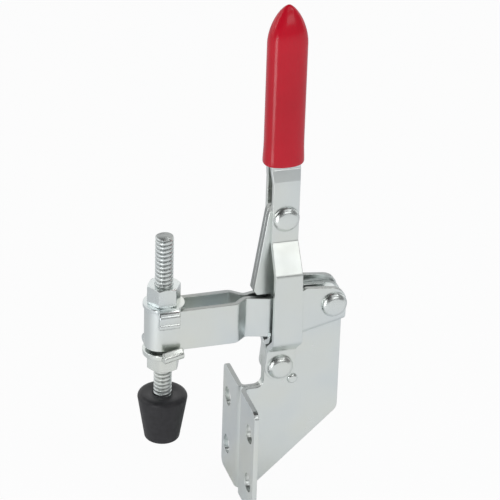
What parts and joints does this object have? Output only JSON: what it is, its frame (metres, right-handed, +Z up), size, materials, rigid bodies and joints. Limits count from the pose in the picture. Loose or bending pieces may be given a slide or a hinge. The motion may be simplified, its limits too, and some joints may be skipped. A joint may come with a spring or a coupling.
{
  "type": "toggle clamp",
  "caption": "Vertical-handle toggle clamp: folded plates on a split front flange, a U-bar arm, a threaded spindle with a rubber cap, and a slim moulded grip; it locks past centre.",
  "frame": {"origin": "centre of the four bolt holes, on the mounting face of the flanges", "axes": "+Z up along the upright handle; -X is the mounting face's outward normal and the way the arm reaches; +Y across, away from the near side"},
  "size_m": [0.0913, 0.048, 0.2329],
  "materials": {
    "zinc_plate": "satin",
    "zinc_fastener": "satin",
    "red_grip": "gloss",
    "black_rubber": "matte"
  },
  "bodies": {
    "clamp_frame": {"body_plate_near": "zinc_plate", "body_plate_far": "zinc_plate", "handle_pivot_rivet": "zinc_fastener", "arm_pivot_rivet": "zinc_fastener", "body_rivet": "zinc_fastener"},
    "clamp_handle": {"handle_plate_near": "zinc_plate", "handle_plate_far": "zinc_plate", "handle_grip": "red_grip", "top_rivet_end_near": "zinc_fastener", "top_rivet_end_far": "zinc_fastener"},
    "clamp_arm": {"arm_bar": "zinc_plate", "arm_pivot_bush": "zinc_fastener", "link_low_rivet": "zinc_fastener"},
    "toggle_link": {"link_plate_near": "zinc_plate", "link_plate_far": "zinc_plate", "top_rivet_middle": "zinc_fastener"},
    "spindle_nuts": {"upper_nut": "zinc_fastener", "lower_nut": "zinc_fastener", "upper_washer": "zinc_fastener", "lower_washer": "zinc_fastener"},
    "clamp_spindle": {"spindle": "zinc_fastener", "rubber_cap": "black_rubber"}
  },
  "joints": [
    {"name": "handle_hinge", "type": "hinge", "parent": "clamp_frame", "child": "clamp_handle", "pos_m": [0.017, 0, 0.0375], "axis": [0, 1, 0], "range_deg": [0, 62]},
    {"name": "arm_hinge", "type": "hinge", "parent": "clamp_frame", "child": "clamp_arm", "pos_m": [0.0395, 0, 0.0673], "axis": [0, 1, 0], "range_deg": [0, 95.3]},
    {"name": "link_hinge", "type": "hinge", "parent": "clamp_arm", "child": "toggle_link", "pos_m": [0.0182, 0, 0.064], "axis": [0, 1, 0], "range_deg": [0, 17.7]},
    {"name": "spindle_shift", "type": "slide", "parent": "clamp_arm", "child": "spindle_nuts", "axis": [1, 0, 0], "range_m": [-0.0012, 0.018]},
    {"name": "spindle_height", "type": "slide", "parent": "spindle_nuts", "child": "clamp_spindle", "axis": [0, 0, 1], "range_m": [-0.02, 0.013]}
  ],
  "couplings": [
    {"joint": "arm_hinge", "follows": "handle_hinge", "ratio": 1.5368},
    {"joint": "link_hinge", "follows": "handle_hinge", "ratio": 0.28533}
  ]
}
